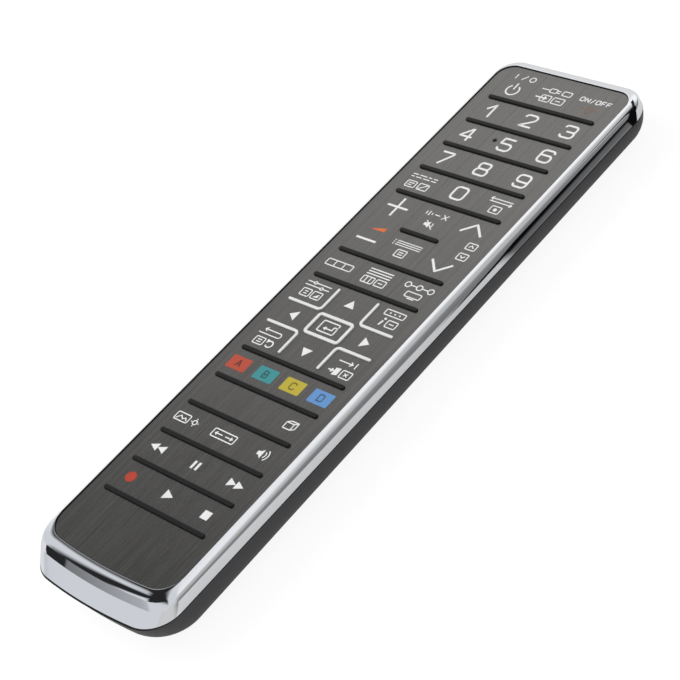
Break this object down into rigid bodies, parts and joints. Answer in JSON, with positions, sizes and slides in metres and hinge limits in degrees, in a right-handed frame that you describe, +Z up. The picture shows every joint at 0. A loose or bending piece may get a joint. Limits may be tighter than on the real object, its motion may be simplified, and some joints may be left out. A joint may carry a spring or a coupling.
{
  "type": "television remote control",
  "caption": "Long hand-held remote control with a brushed face of big flush keys between raised ribs, a bright bezel and a dark case that opens underneath for its cells.",
  "frame": {"origin": "middle of the underside's outline, on the surface that the remote lies on", "axes": "+Z up out of the face, +Y towards the infrared end, X across the width"},
  "size_m": [0.0504, 0.2122, 0.0181],
  "materials": {
    "brushed_sheet": "brushed lengthways, warm grey",
    "rib_rubber": "satin black",
    "light_guide": "white, takes light",
    "frame_plastic": "moulded black",
    "dome_film": "clear film over steel domes",
    "board": "green board",
    "chip": "black chip",
    "lamp": "clear, blue-grey",
    "bright_plating": "bright plating on plastic",
    "case_plastic": "fine moulded dark grey",
    "window": "dark pane that passes infrared",
    "cell_wrap": "printed wrap, bare steel ends",
    "contact": "nickel plated",
    "screw": "zinc plated"
  },
  "bodies": {
    "remote": {"face_plate": "brushed_sheet", "rib_mat": "rib_rubber", "light_guide": "light_guide", "front_frame": "frame_plastic", "dome_sheet": "dome_film", "circuit_board": "board", "controller_chip": "chip", "infrared_leds": "lamp", "chrome_bezel": "bright_plating", "rear_shell": "case_plastic", "infrared_window": "window", "batteries": "cell_wrap", "battery_contacts": "contact", "case_screws": "screw"},
    "door": {"battery_door": "case_plastic"},
    "volume_rocker_body": {"volume_rocker": "brushed_sheet"},
    "channel_rocker_body": {"channel_rocker": "brushed_sheet"},
    "key_power_body": {"key_power": "brushed_sheet"},
    "key_source_body": {"key_source": "brushed_sheet"},
    "key_light_body": {"key_light": "brushed_sheet"},
    "key_1_body": {"key_1": "brushed_sheet"},
    "key_2_body": {"key_2": "brushed_sheet"},
    "key_3_body": {"key_3": "brushed_sheet"},
    "key_4_body": {"key_4": "brushed_sheet"},
    "key_5_body": {"key_5": "brushed_sheet"},
    "key_6_body": {"key_6": "brushed_sheet"},
    "key_7_body": {"key_7": "brushed_sheet"},
    "key_8_body": {"key_8": "brushed_sheet"},
    "key_9_body": {"key_9": "brushed_sheet"},
    "key_teletext_body": {"key_teletext": "brushed_sheet"},
    "key_0_body": {"key_0": "brushed_sheet"},
    "key_previous_body": {"key_previous": "brushed_sheet"},
    "key_mute_body": {"key_mute": "brushed_sheet"},
    "key_channel_list_body": {"key_channel_list": "brushed_sheet"},
    "key_content_body": {"key_content": "brushed_sheet"},
    "key_menu_body": {"key_menu": "brushed_sheet"},
    "key_internet_body": {"key_internet": "brushed_sheet"},
    "key_tools_body": {"key_tools": "brushed_sheet"},
    "key_up_body": {"key_up": "brushed_sheet"},
    "key_info_body": {"key_info": "brushed_sheet"},
    "key_left_body": {"key_left": "brushed_sheet"},
    "key_enter_body": {"key_enter": "brushed_sheet"},
    "key_right_body": {"key_right": "brushed_sheet"},
    "key_return_body": {"key_return": "brushed_sheet"},
    "key_down_body": {"key_down": "brushed_sheet"},
    "key_exit_body": {"key_exit": "brushed_sheet"},
    "key_red_body": {"key_red": "brushed_sheet"},
    "key_green_body": {"key_green": "brushed_sheet"},
    "key_yellow_body": {"key_yellow": "brushed_sheet"},
    "key_blue_body": {"key_blue": "brushed_sheet"},
    "key_3d_body": {"key_3d": "brushed_sheet"},
    "key_picture_mode_body": {"key_picture_mode": "brushed_sheet"},
    "key_picture_size_body": {"key_picture_size": "brushed_sheet"},
    "key_sound_body": {"key_sound": "brushed_sheet"},
    "key_rewind_body": {"key_rewind": "brushed_sheet"},
    "key_pause_body": {"key_pause": "brushed_sheet"},
    "key_forward_body": {"key_forward": "brushed_sheet"},
    "key_record_body": {"key_record": "brushed_sheet"},
    "key_play_body": {"key_play": "brushed_sheet"},
    "key_stop_body": {"key_stop": "brushed_sheet"}
  },
  "joints": [
    {"name": "battery_door_hinge", "type": "hinge", "parent": "remote", "child": "door", "pos_m": [0, -0.0938, 0], "axis": [-1, 0, 0], "range_deg": [0, 35]},
    {"name": "volume_rocker_tilt", "type": "hinge", "parent": "remote", "child": "volume_rocker_body", "pos_m": [-0.01325, 0.02957, 0.01563], "axis": [1, 0, 0], "range_deg": [-1.5, 1.5], "stiffness_Nm_per_rad": 0.15},
    {"name": "channel_rocker_tilt", "type": "hinge", "parent": "remote", "child": "channel_rocker_body", "pos_m": [0.01325, 0.02957, 0.01563], "axis": [1, 0, 0], "range_deg": [-1.5, 1.5], "stiffness_Nm_per_rad": 0.15},
    {"name": "press_power", "type": "slide", "parent": "remote", "child": "key_power_body", "axis": [0, -0.0105, -0.9999], "range_m": [0, 0.0003], "stiffness_N_per_m": 1500},
    {"name": "press_source", "type": "slide", "parent": "remote", "child": "key_source_body", "axis": [0, -0.0105, -0.9999], "range_m": [0, 0.0003], "stiffness_N_per_m": 1500},
    {"name": "press_light", "type": "slide", "parent": "remote", "child": "key_light_body", "axis": [0, -0.0105, -0.9999], "range_m": [0, 0.0003], "stiffness_N_per_m": 1500},
    {"name": "press_1", "type": "slide", "parent": "remote", "child": "key_1_body", "axis": [0, -0.0105, -0.9999], "range_m": [0, 0.0003], "stiffness_N_per_m": 1500},
    {"name": "press_2", "type": "slide", "parent": "remote", "child": "key_2_body", "axis": [0, -0.0105, -0.9999], "range_m": [0, 0.0003], "stiffness_N_per_m": 1500},
    {"name": "press_3", "type": "slide", "parent": "remote", "child": "key_3_body", "axis": [0, -0.0105, -0.9999], "range_m": [0, 0.0003], "stiffness_N_per_m": 1500},
    {"name": "press_4", "type": "slide", "parent": "remote", "child": "key_4_body", "axis": [0, -0.0105, -0.9999], "range_m": [0, 0.0003], "stiffness_N_per_m": 1500},
    {"name": "press_5", "type": "slide", "parent": "remote", "child": "key_5_body", "axis": [0, -0.0105, -0.9999], "range_m": [0, 0.0003], "stiffness_N_per_m": 1500},
    {"name": "press_6", "type": "slide", "parent": "remote", "child": "key_6_body", "axis": [0, -0.0105, -0.9999], "range_m": [0, 0.0003], "stiffness_N_per_m": 1500},
    {"name": "press_7", "type": "slide", "parent": "remote", "child": "key_7_body", "axis": [0, -0.0105, -0.9999], "range_m": [0, 0.0003], "stiffness_N_per_m": 1500},
    {"name": "press_8", "type": "slide", "parent": "remote", "child": "key_8_body", "axis": [0, -0.0105, -0.9999], "range_m": [0, 0.0003], "stiffness_N_per_m": 1500},
    {"name": "press_9", "type": "slide", "parent": "remote", "child": "key_9_body", "axis": [0, -0.0105, -0.9999], "range_m": [0, 0.0003], "stiffness_N_per_m": 1500},
    {"name": "press_teletext", "type": "slide", "parent": "remote", "child": "key_teletext_body", "axis": [0, -0.0105, -0.9999], "range_m": [0, 0.0003], "stiffness_N_per_m": 1500},
    {"name": "press_0", "type": "slide", "parent": "remote", "child": "key_0_body", "axis": [0, -0.0105, -0.9999], "range_m": [0, 0.0003], "stiffness_N_per_m": 1500},
    {"name": "press_previous", "type": "slide", "parent": "remote", "child": "key_previous_body", "axis": [0, -0.0105, -0.9999], "range_m": [0, 0.0003], "stiffness_N_per_m": 1500},
    {"name": "press_mute", "type": "slide", "parent": "remote", "child": "key_mute_body", "axis": [0, -0.0105, -0.9999], "range_m": [0, 0.0003], "stiffness_N_per_m": 1500},
    {"name": "press_channel_list", "type": "slide", "parent": "remote", "child": "key_channel_list_body", "axis": [0, -0.0105, -0.9999], "range_m": [0, 0.0003], "stiffness_N_per_m": 1500},
    {"name": "press_content", "type": "slide", "parent": "remote", "child": "key_content_body", "axis": [0, -0.0105, -0.9999], "range_m": [0, 0.0003], "stiffness_N_per_m": 1500},
    {"name": "press_menu", "type": "slide", "parent": "remote", "child": "key_menu_body", "axis": [0, -0.0105, -0.9999], "range_m": [0, 0.0003], "stiffness_N_per_m": 1500},
    {"name": "press_internet", "type": "slide", "parent": "remote", "child": "key_internet_body", "axis": [0, -0.0105, -0.9999], "range_m": [0, 0.0003], "stiffness_N_per_m": 1500},
    {"name": "press_tools", "type": "slide", "parent": "remote", "child": "key_tools_body", "axis": [0, -0.0105, -0.9999], "range_m": [0, 0.0003], "stiffness_N_per_m": 1500},
    {"name": "press_up", "type": "slide", "parent": "remote", "child": "key_up_body", "axis": [0, -0.0105, -0.9999], "range_m": [0, 0.0003], "stiffness_N_per_m": 1500},
    {"name": "press_info", "type": "slide", "parent": "remote", "child": "key_info_body", "axis": [0, -0.0105, -0.9999], "range_m": [0, 0.0003], "stiffness_N_per_m": 1500},
    {"name": "press_left", "type": "slide", "parent": "remote", "child": "key_left_body", "axis": [0, -0.0105, -0.9999], "range_m": [0, 0.0003], "stiffness_N_per_m": 1500},
    {"name": "press_enter", "type": "slide", "parent": "remote", "child": "key_enter_body", "axis": [0, -0.0105, -0.9999], "range_m": [0, 0.0003], "stiffness_N_per_m": 1500},
    {"name": "press_right", "type": "slide", "parent": "remote", "child": "key_right_body", "axis": [0, -0.0105, -0.9999], "range_m": [0, 0.0003], "stiffness_N_per_m": 1500},
    {"name": "press_return", "type": "slide", "parent": "remote", "child": "key_return_body", "axis": [0, -0.0105, -0.9999], "range_m": [0, 0.0003], "stiffness_N_per_m": 1500},
    {"name": "press_down", "type": "slide", "parent": "remote", "child": "key_down_body", "axis": [0, -0.0105, -0.9999], "range_m": [0, 0.0003], "stiffness_N_per_m": 1500},
    {"name": "press_exit", "type": "slide", "parent": "remote", "child": "key_exit_body", "axis": [0, -0.0105, -0.9999], "range_m": [0, 0.0003], "stiffness_N_per_m": 1500},
    {"name": "press_red", "type": "slide", "parent": "remote", "child": "key_red_body", "axis": [0, -0.0105, -0.9999], "range_m": [0, 0.0003], "stiffness_N_per_m": 1500},
    {"name": "press_green", "type": "slide", "parent": "remote", "child": "key_green_body", "axis": [0, -0.0105, -0.9999], "range_m": [0, 0.0003], "stiffness_N_per_m": 1500},
    {"name": "press_yellow", "type": "slide", "parent": "remote", "child": "key_yellow_body", "axis": [0, -0.0105, -0.9999], "range_m": [0, 0.0003], "stiffness_N_per_m": 1500},
    {"name": "press_blue", "type": "slide", "parent": "remote", "child": "key_blue_body", "axis": [0, -0.0105, -0.9999], "range_m": [0, 0.0003], "stiffness_N_per_m": 1500},
    {"name": "press_3d", "type": "slide", "parent": "remote", "child": "key_3d_body", "axis": [0, -0.0105, -0.9999], "range_m": [0, 0.0003], "stiffness_N_per_m": 1500},
    {"name": "press_picture_mode", "type": "slide", "parent": "remote", "child": "key_picture_mode_body", "axis": [0, -0.0105, -0.9999], "range_m": [0, 0.0003], "stiffness_N_per_m": 1500},
    {"name": "press_picture_size", "type": "slide", "parent": "remote", "child": "key_picture_size_body", "axis": [0, -0.0105, -0.9999], "range_m": [0, 0.0003], "stiffness_N_per_m": 1500},
    {"name": "press_sound", "type": "slide", "parent": "remote", "child": "key_sound_body", "axis": [0, -0.0105, -0.9999], "range_m": [0, 0.0003], "stiffness_N_per_m": 1500},
    {"name": "press_rewind", "type": "slide", "parent": "remote", "child": "key_rewind_body", "axis": [0, -0.0105, -0.9999], "range_m": [0, 0.0003], "stiffness_N_per_m": 1500},
    {"name": "press_pause", "type": "slide", "parent": "remote", "child": "key_pause_body", "axis": [0, -0.0105, -0.9999], "range_m": [0, 0.0003], "stiffness_N_per_m": 1500},
    {"name": "press_forward", "type": "slide", "parent": "remote", "child": "key_forward_body", "axis": [0, -0.0105, -0.9999], "range_m": [0, 0.0003], "stiffness_N_per_m": 1500},
    {"name": "press_record", "type": "slide", "parent": "remote", "child": "key_record_body", "axis": [0, -0.0105, -0.9999], "range_m": [0, 0.0003], "stiffness_N_per_m": 1500},
    {"name": "press_play", "type": "slide", "parent": "remote", "child": "key_play_body", "axis": [0, -0.0105, -0.9999], "range_m": [0, 0.0003], "stiffness_N_per_m": 1500},
    {"name": "press_stop", "type": "slide", "parent": "remote", "child": "key_stop_body", "axis": [0, -0.0105, -0.9999], "range_m": [0, 0.0003], "stiffness_N_per_m": 1500}
  ]
}
